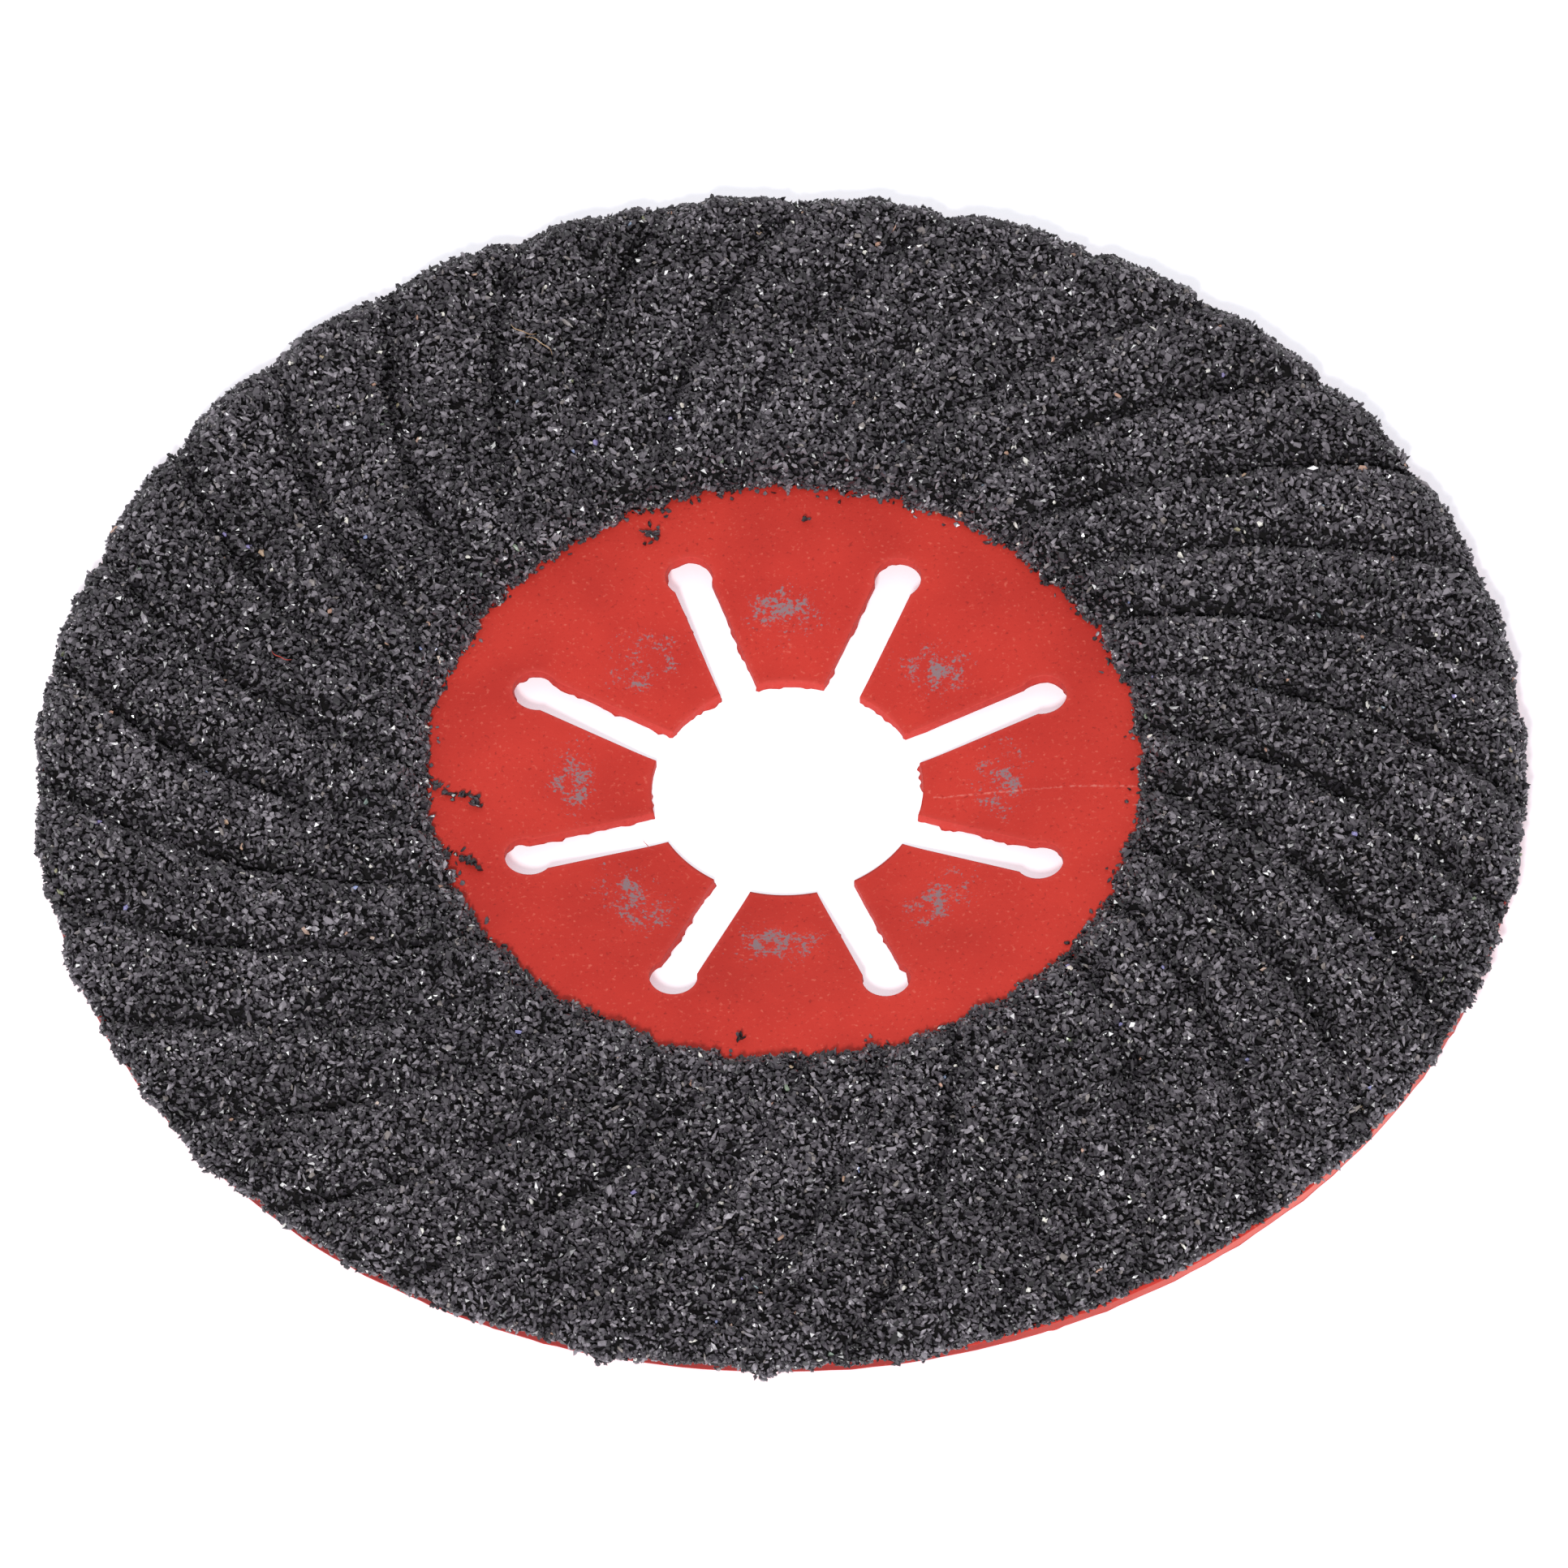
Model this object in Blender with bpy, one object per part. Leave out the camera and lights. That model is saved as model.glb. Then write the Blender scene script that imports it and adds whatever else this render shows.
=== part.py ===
"""Semi-flexible grinding disc for an angle grinder, 125 mm class with a 22.23 mm spindle hole.

A vulcanised-fibre backing carries a thin coat of resin and, on that, a moulded ring of silicon
carbide grit with pinwheel ridges. Eight keyhole slots part the middle of the fibre into tongues,
which are pressed down below the grit ring so that the flange nut sits in the hollow. Lumps of
resin-held grit and a few stray grains lie on the bare fibre beside the ring.

Metres throughout. The origin is on the spindle axis at the underside of the tongues, where the
disc rests on the grinder's flange. +Z points out of the grit side.
"""

import bmesh
import bpy
import numpy as np

MM = 0.001

# Fibre backing.
DISC_RADIUS = 61.5 * MM
BORE_RADIUS = 11.25 * MM
FIBRE_THICKNESS = 0.8 * MM

# The middle of the fibre is dished: a flat seat, a cone, then the flat outer ring.
SEAT_WIDTH = 2.35 * MM
SEAT_RADIUS = BORE_RADIUS + SEAT_WIDTH
CONE_WIDTH = 11.0 * MM
KNEE_RADIUS = SEAT_RADIUS + CONE_WIDTH
CENTRE_DROP = 1.9 * MM
BEND_SHARE = 0.25          # share of the cone taken up by the rounded bend at each of its ends
CONE_STEPS = 8

# Keyhole slots.
SLOT_COUNT = 8
SLOT_WIDTH = 3.3 * MM
SLOT_LENGTH = 11.5 * MM    # from the bore to the centre of the slot's round end
SLOT_REACH = BORE_RADIUS + SLOT_LENGTH
SLOT_FLARE = 0.33 * MM     # the round end stands this far out on each side of the slot
SLOT_END_RADIUS = SLOT_WIDTH / 2.0 + SLOT_FLARE
SLOT_START = 0.7 * BORE_RADIUS          # inside the bore, so the cutter opens into it
SLOT_END_STEPS = 18

# Layers on the fibre. Parts that lie on each other keep this gap.
SEAT_GAP = 0.3 * MM
COAT_THICKNESS = 0.3 * MM
COAT_MARGIN = 0.3 * MM     # the coat shows this far inside the grit ring
COAT_EDGE_INSET = 0.4 * MM

# Moulded grit ring.
GRIT_INNER_RADIUS = 30.0 * MM
GRIT_EDGE_INSET = 0.6 * MM # from the fibre's rim to the grit where a valley ends
GRIT_OUTER_RADIUS = DISC_RADIUS - GRIT_EDGE_INSET
CREST_HEIGHT = 1.85 * MM   # above the ring's own underside
VALLEY_HEIGHT = 0.85 * MM
EDGE_HEIGHT_SHARE = 0.6    # height left at the ring's two rounded edges
EDGE_FADE = 2.2 * MM
RIM_WAVE = 0.75 * MM       # the ends of the crests reach this much further out than the valleys
RIDGE_COUNT = 31
RIDGE_SWEEP = np.radians(0.73) / MM     # angle lost per metre of radius gained
RIDGE_PHASE = np.radians(1.66)          # where one crest crosses the sweep radius
SWEEP_RADIUS = 46.5 * MM   # where the phase is given
CREST_SHARPNESS = 0.7      # under 1 gives a broad crest and a narrow valley
STEPS_PER_RIDGE = 6

# Resolution of the plain turned shapes.
FIBRE_SEGMENTS = 96
COAT_SEGMENTS = 96

# Each lump of resin-held grit on the bare fibre: its name, its angle in degrees, how far it lies
# inside the grit ring, its half length, half width and half height in millimetres, and its turn
# in degrees away from the radius.
LUMPS = (
    ("grit_spur_a", -174.4, 2.6, 1.9, 0.75, 0.62, -31.6),
    ("grit_spur_b", -160.1, 1.9, 1.6, 0.65, 0.60, -53.6),
    ("grain_cluster", 116.0, 2.1, 0.95, 0.70, 0.55, 60.0),
    ("stray_grain_a", -96.3, 2.3, 0.55, 0.42, 0.40, 15.0),
    ("stray_grain_b", 88.0, 3.1, 0.50, 0.36, 0.34, 70.0),
)
LUMP_ROUGHNESS = 0.16

FIBRE_TOP = CENTRE_DROP + FIBRE_THICKNESS
COAT_BOTTOM = FIBRE_TOP + SEAT_GAP
GRIT_BOTTOM = COAT_BOTTOM + COAT_THICKNESS + SEAT_GAP


def clear_scene():
    """Remove every object that is in the scene at the start."""
    for item in list(bpy.data.objects):
        bpy.data.objects.remove(item, do_unlink=True)


def linear(value):
    """Turn one sRGB channel from 0 to 255 into linear light."""
    share = value / 255.0
    return share / 12.92 if share <= 0.04045 else ((share + 0.055) / 1.055) ** 2.4


def make_material(name, red, green, blue, roughness):
    """A plain Principled material with an sRGB base colour."""
    material = bpy.data.materials.new(name)
    material.use_nodes = True
    shader = material.node_tree.nodes["Principled BSDF"]
    colour = (linear(red), linear(green), linear(blue), 1.0)
    shader.inputs["Base Color"].default_value = colour
    shader.inputs["Roughness"].default_value = roughness
    material.diffuse_color = colour
    return material


def add_object(name, mesh, material=None):
    """Link a mesh to the scene as one named object."""
    if material is not None:
        mesh.materials.append(material)
    item = bpy.data.objects.new(name, mesh)
    bpy.context.scene.collection.objects.link(item)
    return item


def mesh_from_bmesh(name, shape):
    """Turn a bmesh into a mesh and let go of the bmesh."""
    mesh = bpy.data.meshes.new(name)
    shape.to_mesh(mesh)
    shape.free()
    return mesh


def turned_ring(name, profile, segments):
    """Turn a closed outline of (radius, height) points once round the Z axis.

    The outline runs outwards along its underside, so that its faces point out.
    """
    shape = bmesh.new()
    loops = []
    for step in range(segments):
        angle = 2.0 * np.pi * step / segments
        loops.append([
            shape.verts.new((radius * np.cos(angle), radius * np.sin(angle), height))
            for radius, height in profile
        ])
    for step, here in enumerate(loops):
        there = loops[(step + 1) % segments]
        for point in range(len(profile)):
            after = (point + 1) % len(profile)
            shape.faces.new((here[point], there[point], there[after], here[after]))
    return mesh_from_bmesh(name, shape)


def ramp(share):
    """A straight rise from 0 to 1 with a parabolic bend at each end."""
    slope = 1.0 / (1.0 - BEND_SHARE)
    share = min(max(share, 0.0), 1.0)
    if share < BEND_SHARE:
        return slope * share * share / (2.0 * BEND_SHARE)
    if share > 1.0 - BEND_SHARE:
        rest = 1.0 - share
        return 1.0 - slope * rest * rest / (2.0 * BEND_SHARE)
    return slope * (share - BEND_SHARE / 2.0)


def fibre_underside():
    """Radius and height of the fibre's underside, from the bore out to the rim."""
    points = [(BORE_RADIUS, 0.0)]
    for step in range(CONE_STEPS + 1):
        share = step / CONE_STEPS
        radius = SEAT_RADIUS + (KNEE_RADIUS - SEAT_RADIUS) * share
        points.append((radius, CENTRE_DROP * ramp(share)))
    points.append((DISC_RADIUS, CENTRE_DROP))
    return points


def keyhole_outline():
    """Half-width, then a round end: one slot along +X as a closed list of points."""
    half = SLOT_WIDTH / 2.0
    opening = np.arcsin(half / SLOT_END_RADIUS)
    points = [(SLOT_START, -half)]
    for angle in np.linspace(opening - np.pi, np.pi - opening, SLOT_END_STEPS + 1):
        points.append((
            SLOT_REACH + SLOT_END_RADIUS * np.cos(angle),
            SLOT_END_RADIUS * np.sin(angle),
        ))
    points.append((SLOT_START, half))
    return points


def slot_cutter():
    """All the keyhole slots as upright prisms in one cutter object."""
    shape = bmesh.new()
    low, high = -CENTRE_DROP, 2.0 * FIBRE_TOP
    for slot in range(SLOT_COUNT):
        turn = 2.0 * np.pi * (slot + 0.5) / SLOT_COUNT
        cos_turn, sin_turn = np.cos(turn), np.sin(turn)
        bottom, top = [], []
        for along, across in keyhole_outline():
            x = along * cos_turn - across * sin_turn
            y = along * sin_turn + across * cos_turn
            bottom.append(shape.verts.new((x, y, low)))
            top.append(shape.verts.new((x, y, high)))
        count = len(bottom)
        shape.faces.new(list(reversed(bottom)))
        shape.faces.new(top)
        for point in range(count):
            after = (point + 1) % count
            shape.faces.new((bottom[point], bottom[after], top[after], top[point]))
    cutter = add_object("slot_cutter", mesh_from_bmesh("slot_cutter", shape))
    cutter.hide_render = True
    cutter.display_type = "WIRE"
    return cutter


def build_fibre(material):
    """The dished backing disc with its bore and keyhole slots."""
    under = fibre_underside()
    over = [(radius, height + FIBRE_THICKNESS) for radius, height in reversed(under)]
    fibre = add_object(
        "fibre_backing",
        turned_ring("fibre_backing", under + over, FIBRE_SEGMENTS),
        material,
    )
    cut = fibre.modifiers.new("slots", "BOOLEAN")
    cut.operation = "DIFFERENCE"
    cut.solver = "EXACT"
    cut.object = slot_cutter()
    return fibre


def build_coat(material):
    """The flat ring of resin that bonds the grit to the fibre."""
    inner = GRIT_INNER_RADIUS - COAT_MARGIN
    outer = DISC_RADIUS - COAT_EDGE_INSET
    top = COAT_BOTTOM + COAT_THICKNESS
    profile = [
        (inner, COAT_BOTTOM),
        (outer, COAT_BOTTOM),
        (outer, top),
        (inner, top),
    ]
    mesh = turned_ring("resin_coat", profile, COAT_SEGMENTS)
    return add_object("resin_coat", mesh, material)


def crest_share(phase):
    """1 on a crest and 0 in a valley, for an angle that turns once per ridge."""
    return np.abs(np.cos(phase / 2.0)) ** CREST_SHARPNESS


def edge_share(distance):
    """Share of the full height at a distance from the nearer edge of the grit ring."""
    inward = min(distance / EDGE_FADE, 1.0)
    return EDGE_HEIGHT_SHARE + (1.0 - EDGE_HEIGHT_SHARE) * np.sin(inward * np.pi / 2.0)


def grit_radii():
    """Radii of the rings of points across the grit, closer together at its two edges."""
    close = [0.0, 0.25 * EDGE_FADE, 0.6 * EDGE_FADE, EDGE_FADE]
    inner = [GRIT_INNER_RADIUS + step for step in close]
    outer = [GRIT_OUTER_RADIUS - step for step in reversed(close)]
    middle = np.linspace(inner[-1], outer[0], 8)[1:-1]
    return inner + list(middle) + outer


def grit_ring_of_points(shape, radius, top):
    """One ring of points, level with the underside or lifted onto the ridges."""
    columns = RIDGE_COUNT * STEPS_PER_RIDGE
    turn = RIDGE_PHASE - RIDGE_SWEEP * (radius - SWEEP_RADIUS)
    outward = (radius - GRIT_INNER_RADIUS) / (GRIT_OUTER_RADIUS - GRIT_INNER_RADIUS)
    distance = min(radius - GRIT_INNER_RADIUS, GRIT_OUTER_RADIUS - radius)
    points = []
    for column in range(columns):
        crest = crest_share(2.0 * np.pi * column / STEPS_PER_RIDGE)
        angle = turn + 2.0 * np.pi * column / columns
        reach = radius + RIM_WAVE * crest * max(outward, 0.0) ** 8
        height = VALLEY_HEIGHT + (CREST_HEIGHT - VALLEY_HEIGHT) * crest
        lift = height * edge_share(distance) if top else 0.0
        points.append(shape.verts.new((
            reach * np.cos(angle),
            reach * np.sin(angle),
            GRIT_BOTTOM + lift,
        )))
    return points


def join_rings(shape, here, there):
    """Close the band between two rings of points with four-sided faces."""
    count = len(here)
    for column in range(count):
        after = (column + 1) % count
        shape.faces.new((here[column], there[column], there[after], here[after]))


def build_grit(material):
    """The moulded ring of bonded grit with its swept ridges."""
    shape = bmesh.new()
    rings = [grit_ring_of_points(shape, radius, top=True) for radius in grit_radii()]
    rings.append(grit_ring_of_points(shape, GRIT_OUTER_RADIUS, top=False))
    middle = (GRIT_INNER_RADIUS + GRIT_OUTER_RADIUS) / 2.0
    rings.append(grit_ring_of_points(shape, middle, top=False))
    rings.append(grit_ring_of_points(shape, GRIT_INNER_RADIUS, top=False))
    for here, there in zip(rings, rings[1:] + rings[:1]):
        join_rings(shape, here, there)
    return add_object("grit_ring", mesh_from_bmesh("grit_ring", shape), material)


def build_lump(lump, material):
    """A rough lump of resin-held grit that lies on the bare fibre."""
    name, angle, inset, half_length, half_width, half_height, turn = lump
    shape = bmesh.new()
    bmesh.ops.create_icosphere(shape, subdivisions=2, radius=1.0)
    angle, turn = np.radians(angle), np.radians(turn)
    cos_turn, sin_turn = np.cos(angle + turn), np.sin(angle + turn)
    rest = FIBRE_TOP + SEAT_GAP
    radius = GRIT_INNER_RADIUS - inset * MM
    for vert in shape.verts:
        x, y, z = vert.co
        ripple = np.sin(5.0 * x + 3.0 * z) * np.cos(4.0 * y - 2.0 * x)
        size = MM * (1.0 + LUMP_ROUGHNESS * ripple)
        along, across = x * size * half_length, y * size * half_width
        vert.co = (
            radius * np.cos(angle) + along * cos_turn - across * sin_turn,
            radius * np.sin(angle) + along * sin_turn + across * cos_turn,
            z * size * half_height,
        )
    lowest = min(vert.co.z for vert in shape.verts)
    for vert in shape.verts:
        vert.co.z += rest - lowest
    return add_object(name, mesh_from_bmesh(name, shape), material)


def build_disc():
    """Build every piece of the grinding disc."""
    clear_scene()
    fibre = make_material("red vulcanised fibre", 203, 60, 52, 0.75)
    resin = make_material("cured phenolic resin", 44, 38, 40, 0.5)
    grit = make_material("silicon carbide grit in resin", 66, 64, 68, 0.6)
    loose = make_material("loose silicon carbide grains", 58, 56, 60, 0.5)
    build_fibre(fibre)
    build_coat(resin)
    build_grit(grit)
    for lump in LUMPS:
        build_lump(lump, loose)


build_disc()
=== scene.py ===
# %% [markdown]
# # A semi-flexible grinding disc
#
# The real disc is a sheet of red vulcanised fibre with a hole for the grinder's spindle. Eight
# keyhole slots part its middle into tongues, and a thick ring of black silicon carbide grit is
# moulded onto it with phenolic resin. Two looks carry the object: smooth, matt, slightly rubbed
# red fibre, and tens of thousands of sharp dark grains that sparkle where a flat side faces the
# light. A bump texture can't give grains their own outlines and shadows, so here every grain is
# real geometry, made in bulk with numpy.
#
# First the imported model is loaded. It fixes the place and size of everything that follows.

import bpy
import numpy as np
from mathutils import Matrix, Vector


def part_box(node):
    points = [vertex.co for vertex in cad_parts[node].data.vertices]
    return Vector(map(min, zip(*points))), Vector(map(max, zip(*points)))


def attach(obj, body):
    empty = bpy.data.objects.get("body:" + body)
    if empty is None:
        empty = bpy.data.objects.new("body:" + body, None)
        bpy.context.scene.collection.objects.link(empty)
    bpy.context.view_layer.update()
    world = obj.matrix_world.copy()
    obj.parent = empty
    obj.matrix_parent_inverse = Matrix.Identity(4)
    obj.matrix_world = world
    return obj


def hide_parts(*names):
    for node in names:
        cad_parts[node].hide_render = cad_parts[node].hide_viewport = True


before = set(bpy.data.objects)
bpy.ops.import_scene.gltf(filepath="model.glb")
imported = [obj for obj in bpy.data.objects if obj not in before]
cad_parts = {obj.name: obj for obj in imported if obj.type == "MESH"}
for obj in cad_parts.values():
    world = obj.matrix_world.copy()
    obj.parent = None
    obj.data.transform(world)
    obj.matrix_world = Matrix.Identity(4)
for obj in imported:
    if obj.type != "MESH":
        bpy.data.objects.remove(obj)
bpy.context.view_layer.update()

# %% [markdown]
# ## Sizes
#
# Everything is in metres, so a millimetre gets a name. The disc is turned about the Z axis, with
# its tongues resting at height 0. Only a few sizes drive the shape: the hole, the cone that rises
# from it to the flat outer ring, the slots, and the grit ring with its swept ridges.

# %% Driving sizes
MM = 0.001
DISC_RADIUS = 61.5 * MM
BORE_RADIUS = 11.25 * MM
FIBRE_THICKNESS = 0.8 * MM
CENTRE_DROP = 1.9 * MM
BEND_SHARE = 0.25
FIBRE_TOP = CENTRE_DROP + FIBRE_THICKNESS

CONE_START = 9.5 * MM
CONE_END = 25.6 * MM
SLOT_COUNT = 8
EIGHTH = 2.0 * np.pi / SLOT_COUNT
SLOT_HALF_WIDTH = 1.65 * MM
SLOT_REACH = 22.75 * MM
SLOT_END_RADIUS = 1.98 * MM

GRIT_INNER_RADIUS = 30.0 * MM
GRIT_OUTER_RADIUS = 60.9 * MM
RIM_WAVE = 0.46 * MM
RIM_RADIUS = 60.95 * MM
RIM_OFF_CENTRE = 0.65 * MM
RIM_OFF_ANGLE = np.radians(137.0)
RIM_OVAL = 0.24 * MM
RIM_OVAL_ANGLE = np.radians(149.0)
RIDGE_COUNT = 31
RIDGE_SWEEP = np.radians(0.73) / MM
RIDGE_PHASE = np.radians(1.66)
SWEEP_RADIUS = 46.5 * MM
CREST_SHARPNESS = 0.7
CREST_TOP = 5.45 * MM
VALLEY_TOP = 4.75 * MM

fibre_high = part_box("fibre_backing")[1]
print("fibre radius", round(fibre_high.x / MM, 2), "mm, top at", round(fibre_high.z / MM, 2), "mm")

# %% [markdown]
# ## Helpers
#
# Small helpers do the dull work. `add_piece` pours numpy arrays straight into a mesh, `weld` gives
# points that share a place one shared number, so that seams are closed, and `value_noise` makes
# the smooth randomness that real, moulded and punched edges have. `smooth_step` and `bell` fade a
# thing in and out, and `polar` and `from_polar` go between places and radius and angle. All
# random numbers come from fixed seeds, so the disc is the same each time it is made.

# %% Mesh helpers
def add_object(name, data):
    """An object in the scene that shows a mesh, a lamp or a camera."""
    item = bpy.data.objects.new(name, data)
    bpy.context.scene.collection.objects.link(item)
    return item


def add_piece(name, points, faces, material, values=None, smooth=True):
    """Make an object from an array of points and an array of equal-sided faces."""
    mesh = bpy.data.meshes.new(name)
    sides = faces.shape[1]
    mesh.vertices.add(len(points))
    mesh.vertices.foreach_set("co", points.astype(np.float32).ravel())
    mesh.loops.add(faces.size)
    mesh.loops.foreach_set("vertex_index", faces.astype(np.int32).ravel())
    mesh.polygons.add(len(faces))
    mesh.polygons.foreach_set("loop_start", np.arange(0, faces.size, sides, dtype=np.int32))
    mesh.polygons.foreach_set("use_smooth", np.full(len(faces), smooth))
    mesh.update(calc_edges=True)
    mesh.validate()
    for key, numbers in (values or {}).items():
        attribute = mesh.attributes.new(key, "FLOAT", "POINT")
        attribute.data.foreach_set("value", numbers.astype(np.float32))
    mesh.materials.append(material)
    piece = add_object(name, mesh)
    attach(piece, "root")
    print(name, "has", len(points), "points and", len(faces), "faces")
    return piece


def weld(points):
    """Number the points so that two in the same place, to a tenth of a micron, share a number."""
    keys = np.round(points / (0.0001 * MM)).astype(np.int64)
    kept, numbers = np.unique(keys, axis=0, return_index=True, return_inverse=True)[1:]
    return points[kept], numbers.reshape(-1)


def value_noise(x, y, spacing, seed):
    """Smooth random field from -1 to 1.

    Random numbers sit on a square lattice. Between them the field blends with the weight
    t * t * (3 - 2 * t), where t is the share of the way to the next lattice point.
    """
    lattice = np.random.default_rng(seed).uniform(-1.0, 1.0, (256, 256))
    column, row = np.floor(x / spacing), np.floor(y / spacing)
    across, along = x / spacing - column, y / spacing - row
    across = across * across * (3.0 - 2.0 * across)
    along = along * along * (3.0 - 2.0 * along)
    left, low = column.astype(int) % 256, row.astype(int) % 256
    right, high = (left + 1) % 256, (low + 1) % 256
    near = lattice[left, low] * (1.0 - across) + lattice[right, low] * across
    far = lattice[left, high] * (1.0 - across) + lattice[right, high] * across
    return near * (1.0 - along) + far * along


def smooth_step(low, high, value):
    """0 below low, 1 above high, and t * t * (3 - 2 * t) between them."""
    share = np.clip((value - low) / (high - low), 0.0, 1.0)
    return share * share * (3.0 - 2.0 * share)


def bell(off, spread):
    """Bell curve: the exponential of minus half the square of off / spread."""
    return np.exp(-0.5 * (off / spread) ** 2)


def polar(points):
    """Radius and angle of each point about the disc's axis."""
    return np.hypot(points[:, 0], points[:, 1]), np.arctan2(points[:, 1], points[:, 0])


def from_polar(radius, angle):
    """Places x and y for each radius and angle."""
    return radius * np.cos(angle), radius * np.sin(angle)


# %% [markdown]
# Materials are made of nodes. Colours are picked on screen as sRGB hex values, while shaders work
# in linear light, so one function turns one into the other. One more adds a node, sets it up, and
# plugs in its inputs. Most surfaces here start as a tint that drifts with soft noise.

# %% Material helpers
def colour(code):
    """Turn an sRGB hex value such as '#CD3C34' into linear red, green, blue and a full alpha."""
    channels = np.array([int(code[place:place + 2], 16) for place in (1, 3, 5)]) / 255.0
    curve = ((channels + 0.055) / 1.055) ** 2.4
    return (*np.where(channels <= 0.04045, channels / 12.92, curve).tolist(), 1.0)


def add_node(tree, kind, settings=None, inputs=None):
    """Add a node, change its settings, and fill its inputs.

    The kind goes without the "ShaderNode" that starts its full name. An input takes a socket, a
    node, which stands for its first output, or a plain value.
    """
    node = tree.nodes.new("ShaderNode" + kind)
    for name, value in (settings or {}).items():
        setattr(node, name, value)
    for name, value in (inputs or {}).items():
        if isinstance(value, bpy.types.Node):
            value = value.outputs[0]
        if isinstance(value, bpy.types.NodeSocket):
            tree.links.new(value, node.inputs[name])
        else:
            node.inputs[name].default_value = value
    return node


def new_material(name):
    """An empty node material and its tree."""
    material = bpy.data.materials.new(name)
    material.use_nodes = True
    material.node_tree.nodes.clear()
    return material, material.node_tree


def finish_material(material, finish):
    """Add the shader with its finish and plug it into the surface output."""
    shader = add_node(material.node_tree, "BsdfPrincipled", inputs=finish)
    add_node(material.node_tree, "OutputMaterial", inputs={"Surface": shader})
    return material


def set_ramp(node, stops):
    """Give a colour ramp its stops, as pairs of position and sRGB hex value."""
    elements = node.color_ramp.elements
    while len(elements) > 1:
        elements.remove(elements[-1])
    elements[0].position = stops[0][0]
    elements[0].color = colour(stops[0][1])
    for position, code in stops[1:]:
        elements.new(position).color = colour(code)


def drifting_tint(tree, size, detail, stops):
    """The piece's own coordinates, soft noise of one size on them, and the tint it picks."""
    place = add_node(tree, "TexCoord").outputs["Object"]
    noise = add_node(tree, "TexNoise", inputs={
        "Vector": place, "Scale": 1.0 / size, "Detail": detail,
    })
    tint = add_node(tree, "ValToRGB", inputs={"Fac": noise})
    set_ramp(tint, stops)
    return place, noise, tint


print("pure red in linear light:", colour("#FF0000"))

# %% [markdown]
# ## Vulcanised fibre
#
# Vulcanised fibre is layers of cotton paper, gelled and pressed into one hard, horn-like sheet and
# dyed right through. It is matt, with fine pale and dark flecks of fibre. The grinder's flange nut
# has rubbed a grey metal smear on the middle of each tongue. The smears, the paler edges, which
# are partly rubbed and partly a painted highlight, the rough cut faces and the darker walls, which
# are partly dust and partly painted shade, follow the shape, so the mesh carries them as
# attributes, and the nodes break them up with noise of the right grain.

# %% Fibre material
FLECK_SIZE = 0.35 * MM
SMEAR_FLECK_SIZE = 0.36 * MM
MOTTLE_SIZE = 9.0 * MM
FIBRE_STOPS = [(0.35, "#BA2C23"), (0.65, "#C9352A")]
SCRATCH_Y = -1.0 * MM
SCRATCH_HALF_WIDTH = 0.16 * MM
SCRATCH_MIDDLE_X = 20.5 * MM
SCRATCH_HALF_LENGTH = 8.4 * MM


def scratch_mask(tree, place, breaks):
    """A faint scratch along x: a narrow band in y, cut to length in x, broken by noise."""
    parts = add_node(tree, "SeparateXYZ", inputs={"Vector": place})
    aside = add_node(tree, "Math", {"operation": "SUBTRACT"}, {
        0: parts.outputs["Y"], 1: SCRATCH_Y,
    })
    away = add_node(tree, "Math", {"operation": "ABSOLUTE"}, {0: aside})
    band = add_node(tree, "MapRange", inputs={
        "Value": away, "From Min": SCRATCH_HALF_WIDTH, "From Max": 0.0,
    })
    length = add_node(tree, "Math", {"operation": "COMPARE"}, {
        0: parts.outputs["X"], 1: SCRATCH_MIDDLE_X, 2: SCRATCH_HALF_LENGTH,
    })
    line = add_node(tree, "Math", {"operation": "MULTIPLY"}, {0: band, 1: length})
    gaps = add_node(tree, "MapRange", inputs={
        "Value": breaks, "From Min": 0.42, "From Max": 0.62, "To Max": 0.5,
    })
    return add_node(tree, "Math", {"operation": "MULTIPLY"}, {0: line, 1: gaps})


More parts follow.
